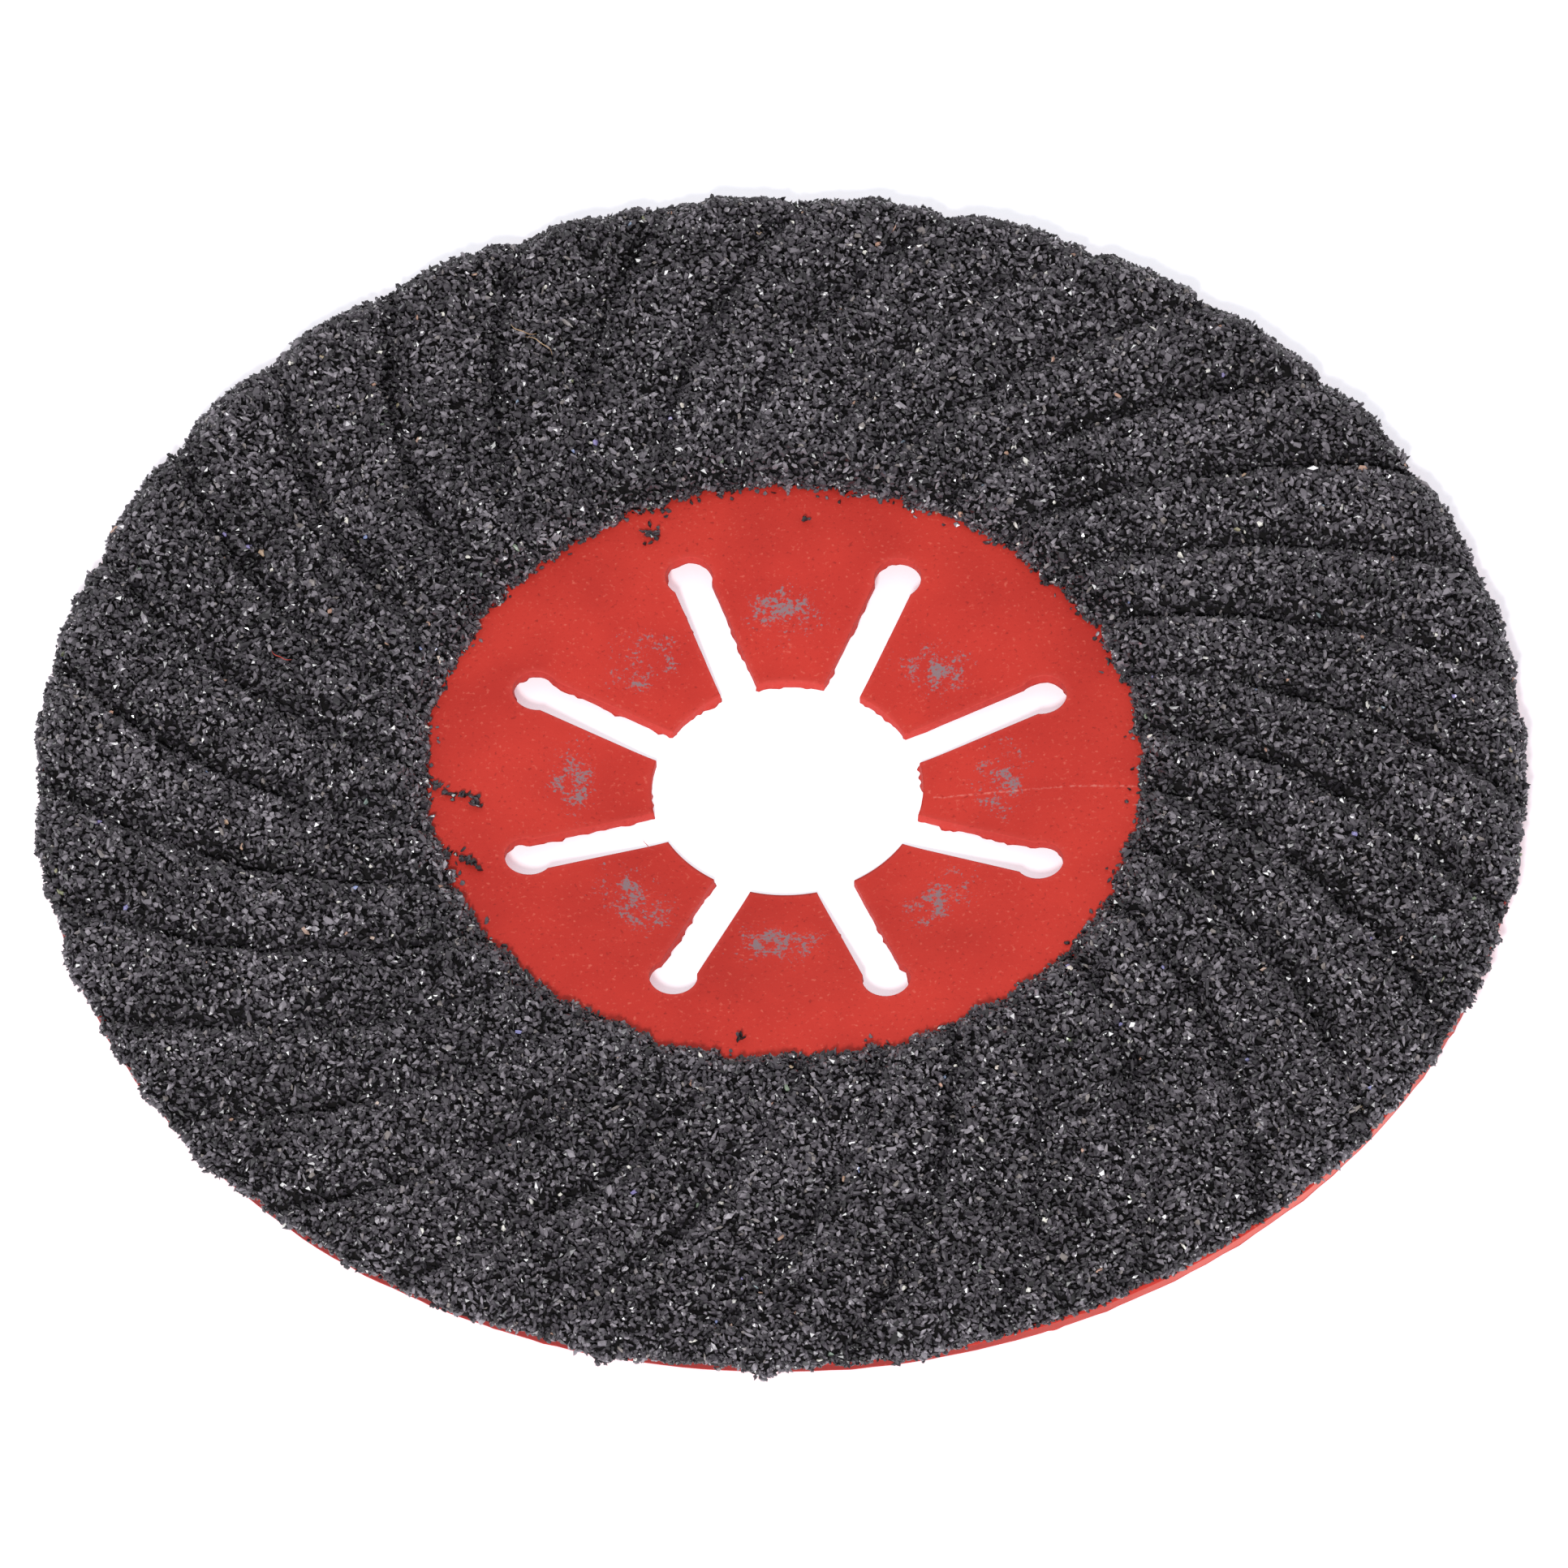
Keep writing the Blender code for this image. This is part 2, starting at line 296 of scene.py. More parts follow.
def fibre_material():
    """Red vulcanised fibre, pressed smooth, with grey metal smears, paler edges that are partly
    rubbed and partly a painted highlight, and walls darkened partly by dust and partly as painted
    shade.

    Each layer is a mask and a colour, mixed over the layers before it. Most masks take a noise or
    an attribute from where they begin to where they are full, and up to their greatest strength.
    """
    material, tree = new_material("red vulcanised fibre, pressed and punched")
    place, mottle, surface = drifting_tint(tree, MOTTLE_SIZE, 4.0, FIBRE_STOPS)
    fleck = add_node(tree, "TexNoise", inputs={
        "Vector": place, "Scale": 1.0 / FLECK_SIZE, "Detail": 2.0,
    })
    grime = add_node(tree, "TexNoise", inputs={
        "Vector": place, "Scale": 1.0 / SMEAR_FLECK_SIZE, "Detail": 6.0, "Roughness": 0.7,
    })
    # Of these attributes, the paler edge is partly rubbed wear and partly a painted highlight, and
    # dust is partly dust and partly painted shade on the walls.
    rub_and_highlight, cut, dust, smear = (
        add_node(tree, "Attribute", {"attribute_name": name}).outputs["Fac"]
        for name in ("rub_and_highlight", "cut", "dust", "smear")
    )
    patchy = add_node(tree, "Math", {"operation": "MULTIPLY_ADD"}, {0: smear, 1: 0.3, 2: grime})
    # Paler edges: partly rubbed wear, partly a painted highlight.
    rubbed = add_node(tree, "Math", {"operation": "MULTIPLY"}, {0: rub_and_highlight, 1: fleck})
    sheared = add_node(tree, "Math", {"operation": "MULTIPLY"}, {0: cut, 1: mottle})
    spans = (
        (fleck, 0.62, 0.76, 0.5), (fleck, 0.37, 0.25, 0.5),
        (dust, 0.0, 1.0, 0.85), (patchy, 0.74, 0.82, 0.85),
    )
    pale, dark, dust_and_shade, smeared = (
        add_node(tree, "MapRange", inputs={
            "Value": value, "From Min": low, "From Max": high, "To Max": strength,
        })
        for value, low, high, strength in spans
    )
    layers = (
        (pale, "#E0705E"), (dark, "#7E1512"), (rubbed, "#C8423A"), (sheared, "#E58C82"),
        # The dark red #6E0F0D on the walls is partly dust and partly painted shade.
        (dust_and_shade, "#6E0F0D"), (smeared, "#7F7A80"), (scratch_mask(tree, place, fleck), "#E8988C"),
    )
    for mask, code in layers:
        surface = add_node(tree, "MixRGB", inputs={
            "Fac": mask, "Color1": surface, "Color2": colour(code),
        })
    roughness = add_node(tree, "MapRange", inputs={
        "Value": smeared, "To Min": 0.72, "To Max": 0.5,
    })
    bump = add_node(tree, "Bump", inputs={
        "Height": fleck, "Strength": 0.5, "Distance": 0.06 * MM,
    })
    return finish_material(material, {
        "Base Color": surface, "Roughness": roughness,
        "Normal": bump, "IOR": 1.53, "Specular IOR Level": 0.3,
    })


red_fibre = fibre_material()
print("made", red_fibre.name)

# %% [markdown]
# ## The fibre sheet, flat
#
# A Boolean cut would leave long thin triangles and no good place for worn edges, so the sheet is
# worked out as a grid that follows the slots by itself. One eighth of the disc, a tongue with the
# ring outside it, is a function of two parameters: how far out, and how far across from the
# middle of one slot to the middle of the next. Each row is an arc, and it stops short of the
# slot's middle by half the angle that the keyhole takes up at that radius.

# %% Rows and columns of one eighth
STRAIGHT_ROWS = 30
ROUND_ROWS = 13
CONE_ROWS = 10
OUTER_ROWS = 26
HALF_COLUMNS = 20
HOLE_CROWDING = 1.1
EDGE_CROWDING = 0.92


def row_places():
    """Radius of each row, and the half angle that the slot takes out of it.

    Along the straight part, half angle = arcsin(half width / radius). Round the end, the angle
    phi runs round the end's own circle, and radius and half angle are the polar coordinates of
    (reach + R cos phi, R sin phi). Beyond the slot the half angle is 0.
    """
    opening = np.arcsin(SLOT_HALF_WIDTH / SLOT_END_RADIUS)
    join = np.hypot(SLOT_REACH - SLOT_END_RADIUS * np.cos(opening), SLOT_HALF_WIDTH)
    share = np.linspace(0.0, 1.0, STRAIGHT_ROWS) ** HOLE_CROWDING
    straight = share * (join - BORE_RADIUS) + BORE_RADIUS
    phi = np.linspace(np.pi - opening, 0.0, ROUND_ROWS + 1)[1:]
    along = SLOT_REACH + SLOT_END_RADIUS * np.cos(phi)
    across = SLOT_END_RADIUS * np.sin(phi)
    slot_tip = SLOT_REACH + SLOT_END_RADIUS
    cone = np.linspace(slot_tip, GRIT_INNER_RADIUS, CONE_ROWS + 1)[1:]
    outer = np.linspace(GRIT_INNER_RADIUS, DISC_RADIUS, OUTER_ROWS + 1)[1:]
    radius = np.concatenate([straight, np.hypot(along, across), cone, outer])
    half_angle = np.concatenate([
        np.arcsin(SLOT_HALF_WIDTH / straight),
        np.arctan2(across, along),
        np.zeros(CONE_ROWS + OUTER_ROWS),
    ])
    return radius, half_angle


def column_places():
    """Places across a tongue from -1 to 1, the sine of even steps, so closer at both edges."""
    even = np.linspace(-1.0, 1.0, 2 * HALF_COLUMNS + 1)
    return np.sin(even * np.pi / 2.0 * EDGE_CROWDING) / np.sin(np.pi / 2.0 * EDGE_CROWDING)


def rim_radius(angle):
    """Radius of the fibre's rim, which was cut a little off centre and a little oval."""
    shift = RIM_OFF_CENTRE * np.cos(angle - RIM_OFF_ANGLE)
    return RIM_RADIUS + shift + RIM_OVAL * np.cos(2.0 * (angle - RIM_OVAL_ANGLE))


def flat_sheet():
    """Points, faces, inner outline and rim of the sheet seen from above, with seams welded."""
    radius, half_angle = row_places()
    column = column_places()
    rows, columns = len(radius), len(column)
    middle = EIGHTH * np.arange(SLOT_COUNT)[:, None, None]
    angle = middle + column[None, :, None] * (EIGHTH / 2.0 - half_angle[None, None, :])
    outward = np.clip((radius - GRIT_INNER_RADIUS) / (DISC_RADIUS - GRIT_INNER_RADIUS), 0.0, 1.0)
    reach = radius + (rim_radius(angle) - DISC_RADIUS) * outward
    points = np.stack(from_polar(reach, angle), axis=-1).reshape(-1, 2)
    points, number = weld(points)
    number = number.reshape(SLOT_COUNT, columns, rows)
    corners = [number[:, :-1, :-1], number[:, :-1, 1:], number[:, 1:, 1:], number[:, 1:, :-1]]
    faces = np.stack(corners, axis=-1).reshape(-1, 4)
    tip = STRAIGHT_ROWS + ROUND_ROWS - 1
    outline = np.concatenate([
        number[:, 0, tip:0:-1], number[:, :, 0], number[:, -1, 1:tip],
    ], axis=1).reshape(-1)
    rim = number[:, :-1, -1].reshape(-1)
    return points, faces, outline, rim


sheet, sheet_faces, hole_outline, rim_outline = flat_sheet()
print("flat sheet:", len(sheet), "points and", len(sheet_faces), "faces")
print("points round the hole:", len(hole_outline), "and round the rim:", len(rim_outline))

# %% [markdown]
# ## The dish, the walls and the punched burr
#
# The sheet is pressed into a shallow dish, so a height function lifts the flat points. A second
# copy of the points, one thickness lower, is the underside, and a wall joins the two round the
# hole and round the rim. A punch shears fibre cleanly at first, then tears the last layers out, so
# the wall's lower edge gets a ragged burr that sticks out into the hole.

# %% Dish and walls
BURR_REACH = 0.24 * MM
# Painted shade: a little of the walls' dark red on the walls of the hole and slots.
HOLE_SHADE = 0.1
EDGE_ROUNDING = 0.03 * MM
# Width of the paler band along punched edges, partly rubbed wear and partly a painted highlight.
RUB_WIDTH = 0.32 * MM
WARP = 0.05 * MM
CLEAN_ANGLE = np.radians(-42.0)
CLEAN_SPREAD = np.radians(20.0)
SMEAR_RADIUS = 17.6 * MM
SMEAR_LENGTH = 3.4 * MM
SMEAR_WIDTH = 2.1 * MM
SMEAR_DRIFT = 1.3 * MM
SMEAR_PATCH_SIZE = 1.0 * MM
SHEAR_MARKS = 0.02 * MM
WALL_DEPTHS = np.array([0.0, 0.1, 0.3, 0.55, 0.8, 1.0])


def ramp(share):
    """A straight rise from 0 to 1 with a parabolic bend over BEND_SHARE at each end."""
    slope = 1.0 / (1.0 - BEND_SHARE)
    share = np.clip(share, 0.0, 1.0)
    start = slope * share ** 2 / (2.0 * BEND_SHARE)
    end = 1.0 - slope * (1.0 - share) ** 2 / (2.0 * BEND_SHARE)
    straight = slope * (share - BEND_SHARE / 2.0)
    return np.where(share < BEND_SHARE, start, np.where(share > 1.0 - BEND_SHARE, end, straight))


def underside_height(points):
    """Height of the underside: the dish's drop times the ramp, and a warp that grows outwards."""
    radius = polar(points)[0]
    share = (radius - CONE_START) / (CONE_END - CONE_START)
    warp = WARP * value_noise(*points.T, 7.0 * MM, 11)
    return CENTRE_DROP * ramp(share) + warp * smooth_step(0.0, 1.0, share)


def slot_frame(points):
    """Distance along and across the nearest slot's axis for each point."""
    radius, angle = polar(points)
    turn = angle - EIGHTH * (np.floor(angle / EIGHTH) + 0.5)
    return radius * np.cos(turn), np.abs(radius * np.sin(turn))


def edge_distance(points):
    """Distance from each point to the nearest punched edge: bore, slot side or slot end."""
    along, across = slot_frame(points)
    side = np.where(along < SLOT_REACH, across - SLOT_HALF_WIDTH, 1.0)
    end = np.hypot(along - SLOT_REACH, across) - SLOT_END_RADIUS
    bore = polar(points)[0] - BORE_RADIUS
    return np.minimum(np.minimum(np.abs(side), np.abs(end)), bore)


def smear_field(points):
    """About 1 in the middle of each tongue, fading as a bell curve and patchy with noise."""
    radius, angle = polar(points)
    turn = angle - EIGHTH * np.round(angle / EIGHTH)
    drift = SMEAR_DRIFT * value_noise(*points.T, 9.0 * MM, 12)
    sideways = (radius * turn + drift) / SMEAR_LENGTH
    outwards = (radius - SMEAR_RADIUS + drift) / SMEAR_WIDTH
    patches = 0.88 + 0.45 * value_noise(*points.T, SMEAR_PATCH_SIZE, 13)
    return patches * np.exp(-0.5 * (sideways ** 2 + outwards ** 2))


def outward_normals(points):
    """Sideways direction at each point of a closed outline: the chord turned by a right angle."""
    chord = np.roll(points, -1, axis=0) - np.roll(points, 1, axis=0)
    normal = np.stack([chord[:, 1], -chord[:, 0]], axis=1)
    return normal / np.linalg.norm(normal, axis=1, keepdims=True)


def wall_rings(outline, normals, burr_reach, seed):
    """Points down a wall, a profile carried round the outline.

    The profile bulges by the edge rounding, and its lower part adds the burr, which is the
    burr reach times the positive part of two layers of noise.
    """
    x, y = outline[:, 0], outline[:, 1]
    torn = value_noise(x, y, 1.1 * MM, seed) + 0.8 * value_noise(x, y, 0.45 * MM, seed + 1)
    burr = burr_reach * np.clip(torn, 0.0, None)
    shear = SHEAR_MARKS * value_noise(x, y, 0.5 * MM, seed + 2)
    bulge = EDGE_ROUNDING * np.sqrt(np.clip(WALL_DEPTHS * 4.0, 0.0, 1.0))
    depth = WALL_DEPTHS[:, None]
    spread = bulge[:, None] + burr * depth ** 3 + shear * (depth > 0)
    return outline[None] + normals[None] * spread[:, :, None]


def ring_faces(rings):
    """Four-sided faces between rows of point numbers, each row a closed ring."""
    here, there = rings[:-1], rings[1:]
    corners = [here, there, np.roll(there, -1, axis=1), np.roll(here, -1, axis=1)]
    return np.stack(corners, axis=-1).reshape(-1, 4)


def fibre_sheet():
    """The whole dished, slotted and punched sheet of fibre as one closed mesh."""
    under = underside_height(sheet)
    top = np.column_stack([sheet, under + FIBRE_THICKNESS])
    bottom = np.column_stack([sheet, under])
    points, walls, faces = [top, bottom], [], [sheet_faces, sheet_faces[:, ::-1] + len(sheet)]
    count = 2 * len(sheet)
    edges = ((hole_outline, -1.0, BURR_REACH, 21), (rim_outline, 1.0, 0.5 * BURR_REACH, 31))
    for outline, side, reach, seed in edges:
        flat = sheet[outline]
        rings = wall_rings(flat, side * outward_normals(flat), reach, seed)
        bottom[outline, :2] = rings[-1]
        drop = under[outline] + FIBRE_THICKNESS * (1.0 - WALL_DEPTHS[1:-1, None])
        middle = np.concatenate([rings[1:-1], drop[:, :, None]], axis=2)
        inner = count + np.arange(middle.shape[0] * middle.shape[1]).reshape(middle.shape[:2])
        numbers = np.concatenate([outline[None], inner, outline[None] + len(sheet)])
        new_faces = ring_faces(numbers)
        faces.append(new_faces if side > 0 else new_faces[:, ::-1])
        walls.append(middle.reshape(-1, 3))
        count += inner.size
    points = np.concatenate([top, bottom] + walls)
    return points, np.concatenate(faces)


def wear_and_painted_light(points):
    """How much each point of the sheet is paler at an edge, smeared, freshly cut and darkened.

    Each runs from 0 to 1. The paler edge is partly rubbed and partly a painted highlight. The
    rim's wall is clean round one angle and darkened elsewhere, partly by dust and partly as
    painted shade, and the walls of the hole get a little painted shade. Smears lie only on top.
    """
    radius, angle = polar(points)
    wall = np.arange(len(points)) >= 2 * len(sheet)
    rim = wall * (radius > 0.9 * RIM_RADIUS)
    hole = wall * (radius < 0.9 * RIM_RADIUS)
    clean = bell(angle - CLEAN_ANGLE, CLEAN_SPREAD)
    on_top = points[:, 2] > underside_height(points[:, :2]) + 0.9 * FIBRE_THICKNESS
    return {
        # Paler near punched edges: partly rubbed, partly a painted highlight.
        "rub_and_highlight": np.exp(-(edge_distance(points[:, :2]) / RUB_WIDTH) ** 2),
        "smear": smear_field(points[:, :2]) * on_top,
        "cut": rim * clean,
        # Walls' dark red: dust and painted shade on the rim's wall, painted shade on the hole's
        # walls.
        "dust": rim * (1.0 - clean) + HOLE_SHADE * hole,
    }


fibre_points, fibre_faces = fibre_sheet()
fibre = add_piece("fibre_sheet", fibre_points, fibre_faces, red_fibre, wear_and_painted_light(fibre_points))
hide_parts("fibre_backing")

# %% [markdown]
# ## The moulded relief
#
# The grit is pressed in a mould with 31 swept ridges, so its height is a function of radius and
# angle. A spiral phase turns once per ridge, and the absolute cosine of half of it, raised to a
# power under 1, gives broad rounded crests and narrow valleys. Along each valley's floor runs a
# narrow groove that wanders a little and is deeper in some places than in others. The edges of
# the ring were never trimmed, so its inner and outer outline wander with noise the size of a few
# grains, and the outer one bulges where a crest runs out.

# %% Relief of the grit ring
EDGE_FADE = 2.4 * MM
EDGE_SHARE = 0.35
GROOVE_DEPTH = 0.88 * MM
GROOVE_HALF_WIDTH = 0.85 * MM
GROOVE_WANDER = 0.28 * MM
WANDER_SIZE = 2.2 * MM
SMALL_WANDER_SIZE = 0.9 * MM
PRESS_PATCH_SIZE = 5.0 * MM
FAINT_LEFT_SHARE = 0.65
FAINT_FROM = 45.0 * MM
FAINTEST_AT = 31.0 * MM
INNER_OVAL = 0.39 * MM
INNER_OVAL_ANGLE = np.radians(-74.0)
INNER_OFF_CENTRE = 0.27 * MM
INNER_OFF_ANGLE = np.radians(133.0)
INNER_RAGGED = 0.52 * MM
OUTER_RAGGED = 0.34 * MM
MARGIN_ANGLE = np.radians(-56.0)
MARGIN_SPREAD = np.radians(15.0)
MARGIN_WIDTH = 0.43 * MM
GRIT_OVERHANG = 0.4 * MM
LUMP_HEIGHT = 0.16 * MM
RIM_LUMPS = ((-138.5, 0.7), (-102.7, 1.0), (-90.2, 1.05), (-78.3, 0.55))
RIM_LUMP_SPREAD = np.radians(1.1)


def ridge_phase(radius, angle):
    """Spiral phase, a full turn from ridge to ridge: it grows with the angle and the radius."""
    return RIDGE_COUNT * (angle - RIDGE_PHASE + RIDGE_SWEEP * (radius - SWEEP_RADIUS))


def crest_share(radius, angle):
    """1 on a crest and 0 in a valley: the absolute cosine of half the phase, to a power."""
    return np.abs(np.cos(ridge_phase(radius, angle) / 2.0)) ** CREST_SHARPNESS


def groove_share(radius, angle):
    """1 on the floor of a valley, fading across it as a bell curve.

    The distance across is the angle to the nearest valley times the radius, over the square root
    of 1 + (sweep * radius) squared, because the ridges run aslant. Noise makes it wander. The
    mould pressed deeper on two opposite sides of the disc, and faintly near the opening at left.
    """
    turn = (np.mod(ridge_phase(radius, angle), 2.0 * np.pi) - np.pi) / RIDGE_COUNT
    across = turn * radius / np.sqrt(1.0 + (RIDGE_SWEEP * radius) ** 2)
    x, y = from_polar(radius, angle)
    across = across + GROOVE_WANDER * value_noise(x, y, WANDER_SIZE, 46)
    across = across + 0.5 * GROOVE_WANDER * value_noise(x, y, SMALL_WANDER_SIZE, 49)
    pressed = 0.8 + 0.2 * np.cos(2.0 * angle) + 0.5 * value_noise(x, y, PRESS_PATCH_SIZE, 47)
    left = 0.5 - 0.5 * np.cos(angle)
    inwards = smooth_step(FAINT_FROM, FAINTEST_AT, radius)
    pressed = pressed * (1.0 - FAINT_LEFT_SHARE * left * inwards)
    return np.clip(pressed, 0.0, 1.2) * np.exp(-(across / GROOVE_HALF_WIDTH) ** 2)


def round_noise(angle, radius, spacing, seed):
    """Noise along a circle, so that it meets itself after a full turn."""
    return value_noise(*from_polar(radius, angle), spacing, seed)


def inner_edge(angle):
    """Radius where the grit begins: its plain radius plus waves of two sizes."""
    wide = round_noise(angle, GRIT_INNER_RADIUS, 2.6 * MM, 41)
    fine = round_noise(angle, GRIT_INNER_RADIUS, 0.8 * MM, 42)
    teeth = round_noise(angle, GRIT_INNER_RADIUS, 0.45 * MM, 48)
    oval = INNER_OVAL * np.cos(2.0 * (angle - INNER_OVAL_ANGLE))
    middle = GRIT_INNER_RADIUS + INNER_OFF_CENTRE * np.cos(angle - INNER_OFF_ANGLE) + oval
    return middle + INNER_RAGGED * (0.7 * wide + 0.7 * fine + 0.5 * teeth)


def turn_from(place, angle):
    """Signed angle from a place to each angle, the short way round."""
    return np.angle(np.exp(1j * (angle - place)))


def outer_edge(angle):
    """Radius where the grit ends.

    It reaches out by the rim wave at each crest and by a bell curve at each lump, and draws back
    by the margin's bell curve, where the ring was pressed slightly off centre.
    """
    crest = crest_share(GRIT_OUTER_RADIUS, angle)
    margin = MARGIN_WIDTH * bell(turn_from(MARGIN_ANGLE, angle), MARGIN_SPREAD)
    ragged = OUTER_RAGGED * round_noise(angle, GRIT_OUTER_RADIUS, 1.3 * MM, 43)
    wave = RIM_WAVE * (0.75 + 0.25 * np.sin(angle))
    edge = rim_radius(angle) + GRIT_OVERHANG - wave * (1.0 - crest) - margin + ragged
    for place, reach in RIM_LUMPS:
        away = turn_from(np.radians(place), angle)
        edge = edge + reach * MM * bell(away, RIM_LUMP_SPREAD)
    return edge


def grit_height(radius, angle):
    """Height of the grit's surface: ridges times a rounded rise from each edge, plus lumps."""
    crest = crest_share(radius, angle)
    full = VALLEY_TOP + (CREST_TOP - VALLEY_TOP) * crest - FIBRE_TOP
    full = full - GROOVE_DEPTH * groove_share(radius, angle)
    inward = np.minimum(radius - inner_edge(angle), outer_edge(angle) - radius)
    rise = np.sin(np.clip(inward / EDGE_FADE, 0.0, 1.0) * np.pi / 2.0)
    x, y = from_polar(radius, angle)
    lumps = value_noise(x, y, 1.9 * MM, 44) + 0.7 * value_noise(x, y, 0.9 * MM, 45)
    height = full * (EDGE_SHARE + (1.0 - EDGE_SHARE) * rise)
    return FIBRE_TOP + height + LUMP_HEIGHT * (lumps - 1.2) * (0.3 + 0.7 * rise)


all_round = np.linspace(0.0, 2.0 * np.pi, 720, endpoint=False)
for label, edge in (("starts", inner_edge(all_round)), ("ends", outer_edge(all_round))):
    print("grit", label, "between", np.round([edge.min() / MM, edge.max() / MM], 2), "mm")

# %% [markdown]
# ## Resin bed
#
# Phenolic resin binds the grains. Between them it shows only as a dark brown-black floor, deep
# enough to lose the light, and its near-black tint is partly the resin's own colour and partly
# painted shade for the gaps. It is a ring-shaped skin on the same relief, a little lower than the
# grains' tops, which closes every gap so that no red fibre shines through the grit.

# %% Resin material and bed
BED_DEPTH = 0.4 * MM
BED_CLEARANCE = 0.35 * MM
BED_INSET = 0.3 * MM
BED_COLUMNS = 26 * RIDGE_COUNT
BED_ROWS = 84
BED_UNEVENNESS = 0.08 * MM
BED_LEAST_COVER = 0.02 * MM
BED_FOOT_DEPTH = 0.1 * MM
RESIN_GRAIN = 0.5 * MM
# Near-black tints: the resin's own dark colour, and painted shade for the gaps between grains.
RESIN_AND_SHADE_STOPS = [(0.35, "#050405"), (0.6, "#0E0B0C"), (0.75, "#181414")]


def resin_material():
    """Cured phenolic resin, moulded and full of grit dust, matt, and near black: partly its own
    dark colour, partly painted shade for the gaps between grains.
    """
    material, tree = new_material("phenolic resin, moulded with grit dust")
    dust, tint = drifting_tint(tree, RESIN_GRAIN, 3.0, RESIN_AND_SHADE_STOPS)[1:]
    bump = add_node(tree, "Bump", inputs={
        "Height": dust, "Strength": 0.8, "Distance": 0.15 * MM,
    })
    return finish_material(material, {
        "Base Color": tint, "Normal": bump,
        "Roughness": 0.8, "IOR": 1.6, "Specular IOR Level": 0.15,
    })


def resin_bed():
    """The bed as rows from the inner foot over the relief to the outer foot and back below.

    Its height is the lowest grit height within the clearance, less the depth, so that it keeps
    away from the grains on a slope too.
    """
    angle = np.linspace(0.0, 2.0 * np.pi, BED_COLUMNS, endpoint=False)[None, :]
    even = np.linspace(0.0, 1.0, BED_ROWS)
    share = 0.5 * (0.5 - 0.5 * np.cos(np.pi * even))[:, None] + 0.5 * even[:, None]
    start, end = inner_edge(angle) + BED_INSET, outer_edge(angle) - BED_INSET
    radius = start + (end - start) * share
    spread = np.broadcast_to(angle, radius.shape)
    x, y = from_polar(radius, spread)
    steps = ((0.0, 0.0), (1.0, 0.0), (-1.0, 0.0), (0.0, 1.0), (0.0, -1.0))
    height = np.min([
        grit_height(radius + out * BED_CLEARANCE, spread + round_step * BED_CLEARANCE / radius)
        for out, round_step in steps
    ], axis=0) - BED_DEPTH
    height += BED_UNEVENNESS * value_noise(x, y, 0.5 * MM, 51)
    height = np.maximum(height, FIBRE_TOP + BED_LEAST_COVER)
    foot = FIBRE_TOP - BED_FOOT_DEPTH
    top = np.stack([x, y, height], axis=-1)
    low = np.stack([x[[-1, 0]], y[[-1, 0]], np.full_like(x[[-1, 0]], foot)], axis=-1)
    points = np.concatenate([top, low]).reshape(-1, 3)
    numbers = np.arange(len(points)).reshape(-1, BED_COLUMNS)
    return points, ring_faces(np.concatenate([numbers, numbers[:1]]))


bed_points, bed_faces = resin_bed()
bed = add_piece("resin_bed", bed_points, bed_faces, resin_material())
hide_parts("resin_coat", "grit_ring")

# %% [markdown]
# ## Silicon carbide grains
#
# Black silicon carbide is crushed, not grown to shape, so grains are splinters and blocks with
# flat broken sides and sharp edges. One grain here is ten points and sixteen triangles: a tip at
# each end and two rings of four between them. Each point is pushed by its own random step and the
# whole is stretched, turned and placed, all grains at once as one big array. Flat shading keeps
# the broken sides flat.
#
# Nearly all the grains are dark grey under their film of resin, and painted darker in the grooves
# as shade. A few are bare and catch the light, a few light grey ones are painted sparkle, and a
# few are cream, pink, tan, green or blue strays, the near-white ones partly painted glints. Each
# grain keeps one tone, in an attribute that a colour ramp reads, and one cell of a map of its own
# for baking.

# %% Grain material
# From 0.87 to 0.935 the ramp gives light greys that are painted sparkle, and from 0.94 to 0.965
# near whites that are partly cream grains and partly painted glints.
GRAIN_STOPS = [
    (0.00, "#0A090A"), (0.25, "#29262B"), (0.60, "#544F56"), (0.86, "#938D95"),
    (0.90, "#7E7672"), (0.935, "#8E888A"), (0.94, "#D8D6D2"), (0.965, "#EFEBE2"),
    (0.967, "#A88272"), (0.98, "#C9A18E"), (0.982, "#6F7C5C"), (0.988, "#7E8A6A"),
    (0.99, "#7F9EC4"), (0.996, "#8F86B8"),
]


def grain_material(name, roughness, reflection):
    """Crushed silicon carbide: dark broken crystal whose flat sides reflect strongly."""
    material, tree = new_material(name)
    tone = add_node(tree, "Attribute", {"attribute_name": "grain_tone"})
    ramp_node = add_node(tree, "ValToRGB", inputs={"Fac": tone.outputs["Fac"]})
    set_ramp(ramp_node, GRAIN_STOPS)
    return finish_material(material, {
        "Base Color": ramp_node, "Roughness": roughness, "IOR": reflection,
    })


bonded_grain = grain_material("silicon carbide grains, crushed and resin bonded", 0.3, 1.62)
bare_grain = grain_material("silicon carbide grains, freshly broken", 0.24, 2.65)
print("made", bonded_grain.name, "and", bare_grain.name)

# %% Grain shapes
GRAIN_SIZES = np.array([0.21, 0.16, 0.29]) * MM
GRAIN_GIRTH = 0.8
GRAIN_SHOULDER = 0.45
GRAIN_JITTER = 0.3
GRAIN_STRETCH = (0.65, 1.4)
GRAIN_PITCH = 0.9
POINTS_EACH = 10


